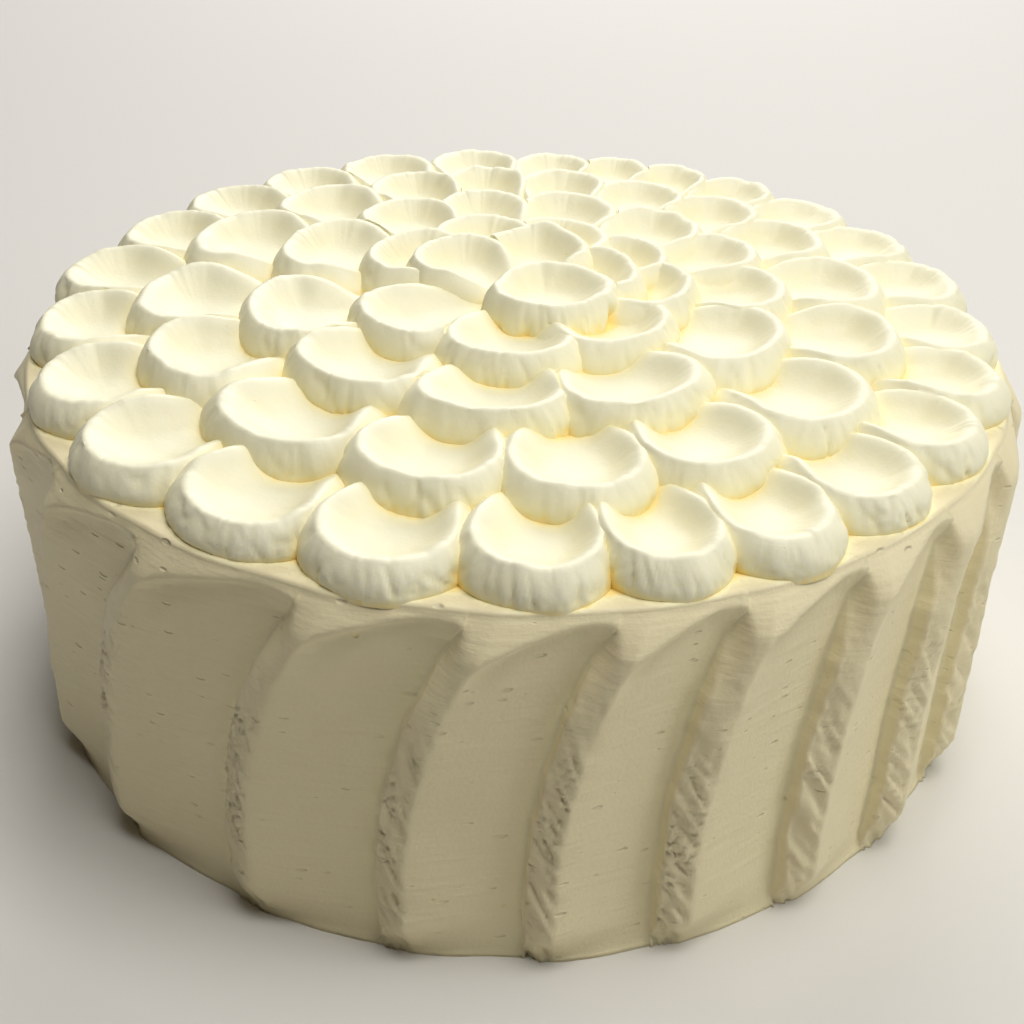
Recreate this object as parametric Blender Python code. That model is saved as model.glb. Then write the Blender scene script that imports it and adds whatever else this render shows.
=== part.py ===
"""A round layer cake, iced all over, with rings of spoon-swept icing petals piled on its top.

Units are metres and +Z is up. The origin is the middle of the flat base, on the surface that the cake
stands on. Bearings are degrees counter-clockwise from +X, seen from above, so the front is at 270.
"""
import math
import random
from collections import namedtuple

import bmesh
import bpy
from mathutils import Vector

# Driving dimensions of the iced cake
CAKE_RADIUS = 0.119
TOP_HEIGHT = 0.0883
VALLEY_RADIUS = 0.945 * CAKE_RADIUS
LIP_RADIUS = 0.966 * CAKE_RADIUS
LIP_ROUNDING = 0.0015
TOUCH_GAP = 0.0003

# The upright strokes round the side: the bearings of the ridges at the front, and how many fill the rest
FRONT_RIDGES = (220, 240, 257, 272, 285.5, 300.5, 315, 330)
OTHER_RIDGES = 15
RIDGE_JITTER = 1.2
RIDGE_CREST = 0.17
STROKE_HOLLOW = 1.25
LEAN_START = 0.15 * CAKE_RADIUS
LEAN_SPAN = 0.55 * CAKE_RADIUS
LEAN_POWER = 2.2
LEAN_MEAN = 7.0
LEAN_SWING = 4.5
FOOT_HEIGHT = 0.010
FOOT_FADE = 0.45
ARCH_LOW = 0.0730
ARCH_HIGH = 0.0864
ARCH_POWER = 0.25
ARCH_BLEND = 0.0040
SHOULDER_DROP = 0.0150
SHOULDER_OUT = 0.0026

# Where the mesh of the side has its columns, as shares of one stroke, and its rows, as heights
STROKE_COLUMNS = (0.0, 0.09, 0.17, 0.27, 0.46, 0.74)
SIDE_ROWS = (0.0, 0.0035, 0.0100, 0.0280, 0.0460, 0.0610, 0.0715, 0.0785, 0.0830, 0.0868)

# One ring of petals, laid counter-clockwise. Its tip radius is to the crest of the rim at the petals' outer
# ends. A petal reaches front and tail outwards and inwards from its middle, and widest is the most that it
# reaches sideways. The crest, floor and ground are heights over the base: of the rim, of the bowl inside it,
# and of what the rim stands on.
Ring = namedtuple("Ring", "name bearings tip_radius front tail widest crest floor ground")

RINGS = (
    Ring("petals_outer",
         (187.5, 205, 221.5, 240.5, 257, 273.5, 286.5, 299.5, 314, 329, 343, 357, 12.5,
          27, 41, 54, 65, 75, 85, 98, 113.5, 127.5, 141, 156, 172),
         0.1115, 0.0170, 0.0290, 0.0210, 0.0950, 0.0902, TOP_HEIGHT),
    Ring("petals_second",
         (185, 204, 234, 258, 280, 300, 324, 347, 10, 31.5, 48, 65, 82, 98, 112, 133, 154),
         0.0885, 0.0170, 0.0270, 0.0210, 0.0982, 0.0922, 0.0904),
    Ring("petals_third",
         (197, 229, 266, 297, 337, 5, 27, 49, 78, 102, 123, 153),
         0.0642, 0.0165, 0.0250, 0.0195, 0.1006, 0.0946, 0.0924),
    Ring("petals_fourth",
         (218, 268, 317, 3, 33, 73, 108, 148),
         0.0416, 0.0150, 0.0290, 0.0160, 0.1022, 0.0962, 0.0946),
    Ring("petals_inner",
         (16, 78, 144),
         0.0290, 0.0145, 0.0180, 0.0155, 0.1034, 0.0975, 0.0962),
)

# The dollop in the middle, a bowl with a rim all the way round
DOLLOP = Ring("centre_dollop", (280,), 0.0, 0.0150, 0.0145, 0.0160, 0.1054, 0.0996, 0.0962)
DOLLOP_CENTRE = (0.0060, -0.0048)

# The form of one petal, as shares of its outline and of its height
PETAL_SIDES = 12
WIDTH_AT = 0.85
SIDE_OVERLAP = 0.0036
LEAST_HALF_WIDTH = 0.0125
HORN_RISE = 0.0016
CREST_SHARE = 0.86
HOLLOW_SHARE = 0.60
ROOT_SHARE = 0.84
TAIL_TAPER = 0.30
HORN_START = 85.0
HORN_END = 170.0
COVERED_START = 48.0
COVERED_END = 84.0
COVERED_DROP = 0.0007
PETAL_ROOT_DEPTH = 0.0015

# How uneven the hand-laid petals are
SEED = 7
TIP_JITTER = 0.0010
HEIGHT_JITTER = 0.0004
TWIST_JITTER = 5.0

ICING_COLOUR = (0.93, 0.89, 0.70, 1.0)
ICING_ROUGHNESS = 0.45


def clear_scene():
    """Remove whatever the scene holds."""
    for item in list(bpy.data.objects):
        bpy.data.objects.remove(item, do_unlink=True)


def icing_material(name):
    """Smooth cream icing."""
    material = bpy.data.materials.new(name)
    material.use_nodes = True
    shader = material.node_tree.nodes["Principled BSDF"]
    shader.inputs["Base Color"].default_value = ICING_COLOUR
    shader.inputs["Roughness"].default_value = ICING_ROUGHNESS
    shader.inputs["Metallic"].default_value = 0.0
    return material


def smooth_step(low, high, value):
    """Ease from 0 at low to 1 at high."""
    share = min(1.0, max(0.0, (value - low) / (high - low)))
    return share * share * (3.0 - 2.0 * share)


def mix(first, second, share):
    """The value that lies share of the way from first to second."""
    return first + (second - first) * share


def mesh_object(name, bm):
    """Turn a bmesh into a smooth-shaded object in the scene."""
    bmesh.ops.recalc_face_normals(bm, faces=bm.faces)
    mesh = bpy.data.meshes.new(name)
    bm.to_mesh(mesh)
    bm.free()
    mesh.shade_smooth()
    item = bpy.data.objects.new(name, mesh)
    bpy.context.collection.objects.link(item)
    return item


def bridge(bm, lower, upper):
    """Join two closed loops of as many points by a band of triangles."""
    count = len(lower)
    for index in range(count):
        after = (index + 1) % count
        bm.faces.new((lower[index], lower[after], upper[after]))
        bm.faces.new((lower[index], upper[after], upper[index]))


def close_with_point(bm, loop, point):
    """Close a loop with a fan of triangles round one point."""
    hub = bm.verts.new(point)
    count = len(loop)
    for index in range(count):
        bm.faces.new((loop[index], loop[(index + 1) % count], hub))


def ridge_bearings(rng):
    """Bearings of all the ridges, the front ones as seen and the others evenly between the last and first."""
    gap = (FRONT_RIDGES[0] + 360 - FRONT_RIDGES[-1]) / (OTHER_RIDGES + 1)
    others = [FRONT_RIDGES[-1] + gap * (index + 1) + rng.uniform(-RIDGE_JITTER, RIDGE_JITTER)
              for index in range(OTHER_RIDGES)]
    return list(FRONT_RIDGES) + others


def ridge_height(stroke):
    """Height of the section across one stroke: up its steep left side, then falling to the next ridge."""
    if stroke < RIDGE_CREST:
        return math.sin(0.5 * math.pi * stroke / RIDGE_CREST)
    return (1.0 - (stroke - RIDGE_CREST) / (1.0 - RIDGE_CREST)) ** STROKE_HOLLOW


def arch_height(stroke):
    """Height at which a stroke's hollow ends under the lip, lowest at the crest of its own ridge."""
    if stroke < RIDGE_CREST:
        return mix(ARCH_HIGH, ARCH_LOW, stroke / RIDGE_CREST)
    share = (stroke - RIDGE_CREST) / (1.0 - RIDGE_CREST)
    return mix(ARCH_LOW, ARCH_HIGH, share ** ARCH_POWER)


def side_radius(stroke, height):
    """Radius of the side at a place along its stroke and a height."""
    foot = mix(FOOT_FADE, 1.0, smooth_step(0.0, FOOT_HEIGHT, height))
    hollow = mix(VALLEY_RADIUS, CAKE_RADIUS, ridge_height(stroke) * foot)
    shoulder = smooth_step(TOP_HEIGHT - SHOULDER_DROP, TOP_HEIGHT, height)
    lip = LIP_RADIUS + SHOULDER_OUT * (1.0 - shoulder)
    under_lip = smooth_step(-ARCH_BLEND, ARCH_BLEND, height - arch_height(stroke))
    return mix(hollow, lip, under_lip)


def side_lean(bearing, height):
    """How far in degrees a ridge has leant over at a height, more so on the left of the cake."""
    most = LEAN_MEAN - LEAN_SWING * math.cos(math.radians(bearing))
    share = max(0.0, (height - LEAN_START) / LEAN_SPAN)
    return most * share ** LEAN_POWER


def cake_body(rng):
    """The iced cake itself: a drum with upright strokes round its side and a flat top with a soft lip."""
    ridges = ridge_bearings(rng)
    columns = []
    for index, start in enumerate(ridges):
        end = ridges[index + 1] if index + 1 < len(ridges) else ridges[0] + 360
        columns += [(mix(start, end, stroke), stroke) for stroke in STROKE_COLUMNS]
    bm = bmesh.new()
    loops = []
    for height in SIDE_ROWS:
        loop = []
        for bearing, stroke in columns:
            angle = math.radians(bearing + side_lean(bearing, height))
            radius = side_radius(stroke, height)
            loop.append(bm.verts.new((radius * math.cos(angle), radius * math.sin(angle), height)))
        loops.append(loop)
    top_loop = []
    radius = LIP_RADIUS - LIP_ROUNDING
    for bearing, _ in columns:
        angle = math.radians(bearing + side_lean(bearing, SIDE_ROWS[-1]))
        top_loop.append(bm.verts.new((radius * math.cos(angle), radius * math.sin(angle), TOP_HEIGHT)))
    loops.append(top_loop)
    for lower, upper in zip(loops, loops[1:]):
        bridge(bm, lower, upper)
    close_with_point(bm, loops[-1], (0.0, 0.0, TOP_HEIGHT))
    close_with_point(bm, list(reversed(loops[0])), (0.0, 0.0, 0.0))
    return mesh_object("cake_body", bm)


def rim_share(degrees):
    """How much of the rim's height stands at a turn from the tip: all of it at the tip, none at the tail."""
    return 1.0 - smooth_step(HORN_START, HORN_END, abs(degrees))


def petal(name, ring, centre, bearing, half_widths, tip_change, lift, whole_rim=False, grow=0.0):
    """One petal: a solid dollop with a bowl swept into it, whose raised rim ends in two horns.

    The half widths are those of its clockwise and its counter-clockwise side. Its clockwise horn stands
    clear, and its other side dips under the petal laid after it. A grown copy, larger by grow all over, is
    what cuts the room for it out of the ring outside it.
    """
    outward = Vector((math.cos(math.radians(bearing)), math.sin(math.radians(bearing)), 0.0))
    across = Vector((-outward.y, outward.x, 0.0))
    crest = ring.crest + lift
    levels = (
        (ROOT_SHARE, lambda rim: TOP_HEIGHT - PETAL_ROOT_DEPTH - abs(lift)),
        (1.0, lambda rim: mix(ring.ground, rim, 0.5)),
        (CREST_SHARE, lambda rim: rim),
        (HOLLOW_SHARE, lambda rim: mix(ring.floor, rim, 0.15)),
    )
    bm = bmesh.new()
    loops = []
    for share, height_at in levels:
        loop = []
        for index in range(PETAL_SIDES):
            degrees = 360.0 * index / PETAL_SIDES
            turn = degrees if degrees <= 180.0 else degrees - 360.0
            forward = math.cos(math.radians(turn))
            side = math.sin(math.radians(turn))
            length = ring.front + tip_change if forward > 0 else ring.tail
            width = half_widths[0 if side < 0 else 1] * (1.0 - TAIL_TAPER * max(0.0, -forward))
            rim = crest
            if not whole_rim:
                covered = smooth_step(COVERED_START, COVERED_END, turn)
                horn = crest + HORN_RISE * (1.0 - forward)
                rim = mix(ring.floor, horn, rim_share(turn) * (1.0 - covered)) - COVERED_DROP * covered
            offset = outward * (length * forward * share) + across * (width * side * share)
            loop.append(bm.verts.new((centre[0] + offset.x, centre[1] + offset.y, height_at(rim))))
        loops.append(loop)
    for lower, upper in zip(loops, loops[1:]):
        bridge(bm, lower, upper)
    close_with_point(bm, loops[-1], (centre[0], centre[1], ring.floor))
    close_with_point(bm, list(reversed(loops[0])), (centre[0], centre[1], loops[0][0].co.z))
    if grow:
        bm.normal_update()
        moved = [vert.co + vert.normal * grow * max(1.0, vert.calc_shell_factor()) for vert in bm.verts]
        for vert, place in zip(bm.verts, moved):
            vert.co = place
    return mesh_object(name, bm)


def half_width(gap, ring):
    """Half the width of a petal on the side where the next one lies gap degrees away."""
    arc = math.radians(gap) * WIDTH_AT * ring.tip_radius
    return min(ring.widest, max(LEAST_HALF_WIDTH, 0.5 * arc + SIDE_OVERLAP))


def ring_petals(ring, seed, grow=0.0):
    """All the petals of one ring, each a little different from the next."""
    rng = random.Random(seed)
    petals = []
    count = len(ring.bearings)
    for index, bearing in enumerate(ring.bearings):
        twist = rng.uniform(-TWIST_JITTER, TWIST_JITTER)
        tip_change = rng.uniform(-TIP_JITTER, TIP_JITTER)
        lift = rng.uniform(-HEIGHT_JITTER, HEIGHT_JITTER)
        gap_before = (bearing - ring.bearings[index - 1]) % 360
        gap_after = (ring.bearings[(index + 1) % count] - bearing) % 360
        half_widths = (half_width(gap_before, ring), half_width(gap_after, ring))
        distance = ring.tip_radius - ring.front * CREST_SHARE
        angle = math.radians(bearing)
        centre = (distance * math.cos(angle), distance * math.sin(angle))
        petals.append(petal(f"{ring.name}_{index}", ring, centre, bearing + twist,
                            half_widths, tip_change, lift, grow=grow))
    return petals


def dollop_petals(grow=0.0):
    """The middle dollop, in a list of its own."""
    widths = (DOLLOP.widest, DOLLOP.widest)
    return [petal(DOLLOP.name, DOLLOP, DOLLOP_CENTRE, DOLLOP.bearings[0], widths, 0.0, 0.0, True, grow)]


def block_below(height):
    """A wide flat block whose top is at a height, for trimming what stands on the cake level."""
    bm = bmesh.new()
    bmesh.ops.create_cube(bm, size=1.0)
    span = 4.0 * CAKE_RADIUS
    for vert in bm.verts:
        vert.co = (vert.co.x * span, vert.co.y * span, height + (vert.co.z - 0.5) * TOP_HEIGHT)
    return mesh_object("trim_block", bm)


def boolean(target, others, operation):
    """Join others to target, or cut them out of it, in one step, and then remove them."""
    group = bpy.data.collections.new("operands")
    bpy.context.scene.collection.children.link(group)
    for item in others:
        group.objects.link(item)
    modifier = target.modifiers.new(operation.title(), "BOOLEAN")
    modifier.operation = operation
    modifier.operand_type = "COLLECTION"
    modifier.collection = group
    modifier.solver = "MANIFOLD"
    bpy.context.view_layer.update()
    evaluated = target.evaluated_get(bpy.context.evaluated_depsgraph_get())
    result = bpy.data.meshes.new_from_object(evaluated)
    target.modifiers.clear()
    target.data = result
    for item in others:
        bpy.data.objects.remove(item, do_unlink=True)
    bpy.data.collections.remove(group)
    return target


def keep_largest_piece(item):
    """Drop loose scraps that a cut leaves."""
    bm = bmesh.new()
    bm.from_mesh(item.data)
    left = set(bm.verts)
    pieces = []
    while left:
        reached = {left.pop()}
        front = list(reached)
        while front:
            near = {edge.other_vert(vert) for vert in front for edge in vert.link_edges} - reached
            reached |= near
            front = list(near)
        left -= reached
        pieces.append(reached)
    pieces.sort(key=len)
    scraps = [vert for piece in pieces[:-1] for vert in piece]
    bmesh.ops.delete(bm, geom=scraps, context="VERTS")
    bm.to_mesh(item.data)
    bm.free()


def build():
    """Make the whole cake, each ring cut back round all that is laid inside it."""
    clear_scene()
    parts = [cake_body(random.Random(SEED))]
    for index, ring in enumerate(RINGS):
        petals = ring_petals(ring, SEED + index)
        joined = boolean(petals[0], petals[1:], "UNION")
        joined.name = ring.name
        cutters = dollop_petals(TOUCH_GAP) + [block_below(TOP_HEIGHT + TOUCH_GAP)]
        for inner in range(index + 1, len(RINGS)):
            cutters += ring_petals(RINGS[inner], SEED + inner, TOUCH_GAP)
        parts.append(boolean(joined, cutters, "DIFFERENCE"))
        keep_largest_piece(joined)
    middle = dollop_petals()[0]
    parts.append(boolean(middle, [block_below(TOP_HEIGHT + TOUCH_GAP)], "DIFFERENCE"))
    for item in parts:
        item.data.materials.clear()
        item.data.materials.append(icing_material(item.name + "_icing"))


build()
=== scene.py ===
# %% [markdown]
# An iced layer cake. On the real cake one icing does everything: a palette knife draws it up the side in
# leaning strokes, and a spoon sweeps each dollop on the top into a petal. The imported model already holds
# the cake and its rings of petals as plain solids. This lesson makes the fine surface of each of them, with
# the same rules, nearly the same sizes and many more points, and then the camera, the light and the icing
# itself.

# %% Load the frame
import math
import random
from collections import namedtuple

import bmesh
import bpy
import numpy as np
from mathutils import Matrix, Vector


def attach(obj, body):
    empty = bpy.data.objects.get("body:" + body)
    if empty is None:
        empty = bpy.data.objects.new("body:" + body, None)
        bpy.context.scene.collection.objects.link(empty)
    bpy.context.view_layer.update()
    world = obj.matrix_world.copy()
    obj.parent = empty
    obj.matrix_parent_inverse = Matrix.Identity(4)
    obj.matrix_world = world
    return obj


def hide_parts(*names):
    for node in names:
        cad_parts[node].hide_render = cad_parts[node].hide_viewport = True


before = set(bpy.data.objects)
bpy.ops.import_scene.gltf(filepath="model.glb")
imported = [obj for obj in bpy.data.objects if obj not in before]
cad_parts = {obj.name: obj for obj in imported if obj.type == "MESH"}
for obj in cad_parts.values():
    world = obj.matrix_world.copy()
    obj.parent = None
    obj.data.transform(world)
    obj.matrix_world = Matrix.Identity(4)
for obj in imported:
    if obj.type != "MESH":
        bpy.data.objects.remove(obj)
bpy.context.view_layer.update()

print("solids:", sorted(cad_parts))

# %% [markdown]
# The photograph was taken by hand, a little above the cake and close to it, so the front of the cake looks
# much larger than its back. A real camera has a place, three turns and a focal length. They could be found
# by eye, but here they were solved from the ellipses of the base and of the top edge.

# %% Camera
CAMERA_PLACE = (0.0, -0.3285, 0.2449)
CAMERA_YAW = -0.048
CAMERA_PITCH = 32.276
CAMERA_ROLL = 1.524
CAMERA_LENS = 53.16
SENSOR_WIDTH = 36.0


def camera_matrix(place, yaw, pitch, roll):
    """Where a camera stands and how it is turned: degrees to the right, down and clockwise."""
    yaw, pitch, roll = (math.radians(value) for value in (yaw, pitch, roll))
    ahead = Vector((math.sin(yaw) * math.cos(pitch), math.cos(yaw) * math.cos(pitch), -math.sin(pitch)))
    right = Vector((math.cos(yaw), -math.sin(yaw), 0.0))
    up = right.cross(ahead)
    turned_right = right * math.cos(roll) + up * math.sin(roll)
    turned_up = up * math.cos(roll) - right * math.sin(roll)
    matrix = Matrix((turned_right, turned_up, -ahead)).transposed().to_4x4()
    matrix.translation = Vector(place)
    return matrix


camera_data = bpy.data.cameras.new("camera")
camera_data.sensor_width = SENSOR_WIDTH
camera_data.lens = CAMERA_LENS
camera_data.clip_start = 0.01
camera = bpy.data.objects.new("camera", camera_data)
bpy.context.scene.collection.objects.link(camera)
camera.matrix_world = camera_matrix(CAMERA_PLACE, CAMERA_YAW, CAMERA_PITCH, CAMERA_ROLL)
bpy.context.scene.camera = camera
print("camera at", tuple(round(value, 3) for value in camera.location))

# %% [markdown]
# The cake stands in a plain studio, on a pale floor. It could hang in an empty world, but icing takes much
# of its light from what it stands on: the shaded side is lit mostly by the floor.

# %% The floor
FLOOR_COLOUR = (0.72, 0.70, 0.665, 1.0)
FLOOR_ROUGHNESS = 0.8
FLOOR_HALF = 1.4


def plain_material(name, colour, roughness):
    """One even colour."""
    material = bpy.data.materials.new(name)
    material.use_nodes = True
    shader = material.node_tree.nodes["Principled BSDF"]
    shader.inputs["Base Color"].default_value = colour
    shader.inputs["Roughness"].default_value = roughness
    return material


floor_mesh = bpy.data.meshes.new("floor")
floor_corners = [(-FLOOR_HALF, -FLOOR_HALF, 0), (FLOOR_HALF, -FLOOR_HALF, 0),
                 (FLOOR_HALF, FLOOR_HALF, 0), (-FLOOR_HALF, FLOOR_HALF, 0)]
floor_mesh.from_pydata(floor_corners, [], [(0, 1, 2, 3)])
floor = bpy.data.objects.new("floor", floor_mesh)
floor.data.materials.append(plain_material("floor", FLOOR_COLOUR, FLOOR_ROUGHNESS))
bpy.context.scene.collection.objects.link(floor)
print("floor:", 2 * FLOOR_HALF, "m wide")

# %% [markdown]
# Three square area lamps give soft light. The main one hangs above the cake, a little to the front and
# right, so the top is bright, the arches on the side catch the light, and the hollows under them are in
# soft shade, darker on the left. One lights the floor behind, and a weak one stands at the right. Area
# lamps were chosen because their size sets how soft a shadow is.

# %% The lamps
Lamp = namedtuple("Lamp", "name place aim size power colour")

LAMPS = (
    Lamp("overhead", (0.26, -0.20, 1.25), (0.0, 0.0, 0.08), 0.75, 11.7, (1.0, 0.985, 0.95)),
    Lamp("backdrop", (0.10, 1.45, 0.95), (0.0, 0.75, 0.0), 1.2, 19.0, (1.0, 0.99, 0.97)),
    Lamp("right", (1.15, -0.30, 0.55), (0.0, 0.0, 0.05), 0.7, 3.8, (0.95, 1.0, 1.0)),
)


def soft_lamp(name, place, aim, size, power, colour):
    """A square area lamp that points at a spot."""
    data = bpy.data.lights.new(name, "AREA")
    data.size = size
    data.energy = power
    data.color = colour
    lamp = bpy.data.objects.new(name, data)
    bpy.context.scene.collection.objects.link(lamp)
    lamp.location = place
    lamp.rotation_euler = (Vector(aim) - Vector(place)).to_track_quat("-Z", "Y").to_euler()
    return lamp


for lamp in LAMPS:
    soft_lamp(*lamp)

# %% [markdown]
# The world adds a faint warm glow from all sides. Past the floor's edge, which shows only from the side or
# the back, the camera sees a plain wall. It could be a second plane, but that would send light back to the
# cake. A Light Path node shows the wall's colour to the camera alone.

# %% The glow and the wall
SKY_COLOUR = (1.0, 0.88, 0.74, 1.0)
SKY_STRENGTH = 0.02
WALL_COLOUR = (0.48, 0.47, 0.45, 1.0)

world = bpy.data.worlds.new("studio")
bpy.context.scene.world = world
world.use_nodes = True
world_nodes, world_links = world.node_tree.nodes, world.node_tree.links
glow = world_nodes["Background"]
glow.inputs["Color"].default_value = SKY_COLOUR
glow.inputs["Strength"].default_value = SKY_STRENGTH
wall = world_nodes.new("ShaderNodeBackground")
wall.inputs["Color"].default_value = WALL_COLOUR
seen = world_nodes.new("ShaderNodeMixShader")
world_links.new(world_nodes.new("ShaderNodeLightPath").outputs["Is Camera Ray"], seen.inputs["Fac"])
world_links.new(glow.outputs["Background"], seen.inputs[1])
world_links.new(wall.outputs["Background"], seen.inputs[2])
world_links.new(seen.outputs["Shader"], world_nodes["World Output"].inputs["Surface"])
bpy.context.scene.view_settings.view_transform = "Standard"
print("world:", world.name, "seen through the", bpy.context.scene.view_settings.view_transform, "view")

# %% [markdown]
# Every surface of the cake is a grid of points that follows a rule, so a few helpers come first: easing and
# mixing, and a soft random field that gives hand-made unevenness. Displace modifiers with a texture would
# do part of this, but a rule can put each mark where a knife makes it.

# %% Easing and noise
PLACE_FACTORS = (73856093, 19349663, 83492791)
SEED_FACTOR = 2654435761
FIRST_SCRAMBLE = 2246822519
SECOND_SCRAMBLE = 3266489917
ALL_BITS = 0xFFFFFFFF
LOW_BITS = 0xFFFFFF


def smooth_step(low, high, value):
    """Ease from 0 at low to 1 at high."""
    share = np.clip((np.asarray(value, float) - low) / (high - low), 0.0, 1.0)
    return share * share * (3.0 - 2.0 * share)


def mix(first, second, share):
    """The value that lies share of the way from first to second."""
    return first + (second - first) * share


def lattice_value(x, y, z, seed):
    """A repeatable random number from -1 to 1 for each whole-numbered place."""
    across, along, up = (axis.astype(np.int64) * factor for axis, factor in zip((x, y, z), PLACE_FACTORS))
    mixed = (across ^ along ^ up ^ (seed * SEED_FACTOR)) & ALL_BITS
    mixed = ((mixed ^ (mixed >> 15)) * FIRST_SCRAMBLE) & ALL_BITS
    mixed = ((mixed ^ (mixed >> 13)) * SECOND_SCRAMBLE) & ALL_BITS
    return ((mixed ^ (mixed >> 16)) & LOW_BITS) / float(LOW_BITS >> 1) - 1.0


def soft_noise(x, y, z, seed):
    """A smooth random field from -1 to 1 whose lumps are one unit wide."""
    x, y, z = np.broadcast_arrays(np.asarray(x, float), np.asarray(y, float), np.asarray(z, float))
    base = [np.floor(axis) for axis in (x, y, z)]
    part = [axis - low for axis, low in zip((x, y, z), base)]
    ease = [share * share * (3.0 - 2.0 * share) for share in part]
    total = np.zeros(x.shape)
    for step_x in (0, 1):
        for step_y in (0, 1):
            for step_z in (0, 1):
                weight = (ease[0] if step_x else 1.0 - ease[0]) * (ease[1] if step_y else 1.0 - ease[1])
                weight = weight * (ease[2] if step_z else 1.0 - ease[2])
                total += weight * lattice_value(base[0] + step_x, base[1] + step_y, base[2] + step_z, seed)
    return total


def groove(noise):
    """Narrow grooves between rounded swellings: 1 where the noise crosses zero."""
    return np.clip(1.0 - np.abs(noise), 0.0, 1.0) ** 4


print("noise at one place:", round(float(soft_noise(0.3, 0.6, 0.9, 1)), 4))

# %% [markdown]
# A surface is laid out as rows of points, like the courses of a wall, each row a ring round the piece.
# Blender could skin them with a Bridge tool by hand. Here one function joins each row to the next and
# closes both ends, so every piece is a closed solid.

# %% A closed mesh from rows
def closed_mesh(name, rows):
    """A closed mesh from rows of points: each row is a ring, and a point closes each end."""
    count_rows, count = rows.shape[:2]
    points = rows.reshape(-1, 3)
    ends = np.array([rows[0].mean(axis=0), rows[-1].mean(axis=0)])
    points = np.vstack([points, ends])
    first, last = count_rows * count, count_rows * count + 1
    index = np.arange(count_rows * count).reshape(count_rows, count)
    after = np.roll(index, -1, axis=1)
    quads = np.stack([index[:-1], after[:-1], after[1:], index[1:]], axis=-1).reshape(-1, 4)
    bottom = [(int(after[0, i]), int(index[0, i]), first) for i in range(count)]
    top = [(int(index[-1, i]), int(after[-1, i]), last) for i in range(count)]
    mesh = bpy.data.meshes.new(name)
    mesh.from_pydata(points.tolist(), [], quads.tolist() + bottom + top)
    mesh.shade_smooth()
    item = bpy.data.objects.new(name, mesh)
    bpy.context.scene.collection.objects.link(item)
    return item


print("rows can be skinned")

# %% [markdown]
# The side is drawn in upright strokes. A palette knife pushes a ridge of icing ahead of its left edge and
# leaves the surface behind it smooth. The ridges that the photograph shows stand where they were seen, and
# the others go evenly round the back with a little change, because a hand never keeps an even gap.

# %% Where the ridges stand
CAKE_RADIUS = 0.119
TOP_HEIGHT = 0.0883
SEED = 7
FRONT_RIDGES = (220, 240, 257, 272, 285.5, 300.5, 315, 330)
OTHER_RIDGES = 15
RIDGE_JITTER = 1.2


def ridge_bearings():
    """Bearings of all the ridges, the front ones as seen and the others evenly between the last and first."""
    rng = random.Random(SEED)
    gap = (FRONT_RIDGES[0] + 360 - FRONT_RIDGES[-1]) / (OTHER_RIDGES + 1)
    others = [FRONT_RIDGES[-1] + gap * (index + 1) + rng.uniform(-RIDGE_JITTER, RIDGE_JITTER)
              for index in range(OTHER_RIDGES)]
    return list(FRONT_RIDGES) + others


ridges = ridge_bearings()
print("ridges:", len(ridges))

# %% [markdown]
# Across one stroke the section climbs a short torn wall, bulges over the face of the ridge to its crest,
# and falls in a long hollow to the next ridge. A curve object could be the section, but it has to change
# with the height: near the top the wall fades, and the right end of the hollow fills up under the lip.

# %% The section across a stroke
VALLEY_RADIUS = 0.945 * CAKE_RADIUS
CREST_RADIUS = CAKE_RADIUS - 0.0004
RIDGE_CREST = 0.21
STROKE_HOLLOW = 1.5
WALL_SHARE = 0.022
WALL_RISE = 0.60
WALL_FADE = 0.95
WALL_FADE_HEIGHTS = (0.066, 0.083)
FACE_POWER = 1.15
TOP_FILL = 0.50
TOP_FILL_HEIGHTS = (0.0790, 0.0875)
TOP_FILL_FROM = 0.45


def hollow_share(stroke):
    """How far across its hollow a place in a stroke is: 0 at the crest and 1 at the next ridge."""
    return np.clip((stroke - RIDGE_CREST) / (1.0 - RIDGE_CREST), 0.0, 1.0)


def ridge_height(stroke, height):
    """Height of the section across one stroke: a torn wall, the ridge's face, then the hollow's fall."""
    wall_rise = WALL_RISE * (1.0 - WALL_FADE * smooth_step(*WALL_FADE_HEIGHTS, height))
    wall = wall_rise * smooth_step(0.0, WALL_SHARE, stroke)
    face_share = np.clip((stroke - WALL_SHARE) / (RIDGE_CREST - WALL_SHARE), 0.0, 1.0)
    face = (1.0 - wall_rise) * np.sin(0.5 * math.pi * face_share) ** FACE_POWER
    falling = np.clip(1.0 - (stroke - RIDGE_CREST) / (1.0 - RIDGE_CREST), 0.0, 1.0) ** STROKE_HOLLOW
    filled = TOP_FILL * smooth_step(*TOP_FILL_HEIGHTS, height)
    risen = np.maximum(falling, filled * smooth_step(TOP_FILL_FROM, 1.0, hollow_share(stroke)))
    return np.where(stroke < RIDGE_CREST, mix(wall + face, 1.0, filled), risen)


print("a hollow is", round(1000 * (CREST_RADIUS - VALLEY_RADIUS), 1), "mm deep")

# %% [markdown]
# The knife leans to the right as it comes up and turns in over the top. So a ridge leans more the higher it
# goes, and each hollow ends under an arch that starts low at its ridge and climbs to the right. Both are
# rules of the height or the place in a stroke, so they need no curves drawn by hand.

# %% The lean of a ridge and the arch over a hollow
LEAN_START = 0.15 * CAKE_RADIUS
LEAN_SPAN = 0.55 * CAKE_RADIUS
LEAN_POWER = 2.2
LEAN_MEAN = 7.0
LEAN_SWING = 4.5
ARCH_MEAN = 0.0700
ARCH_SWING = 0.0060
ARCH_HIGH = 0.0867
ARCH_POWER = 0.27


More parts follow.
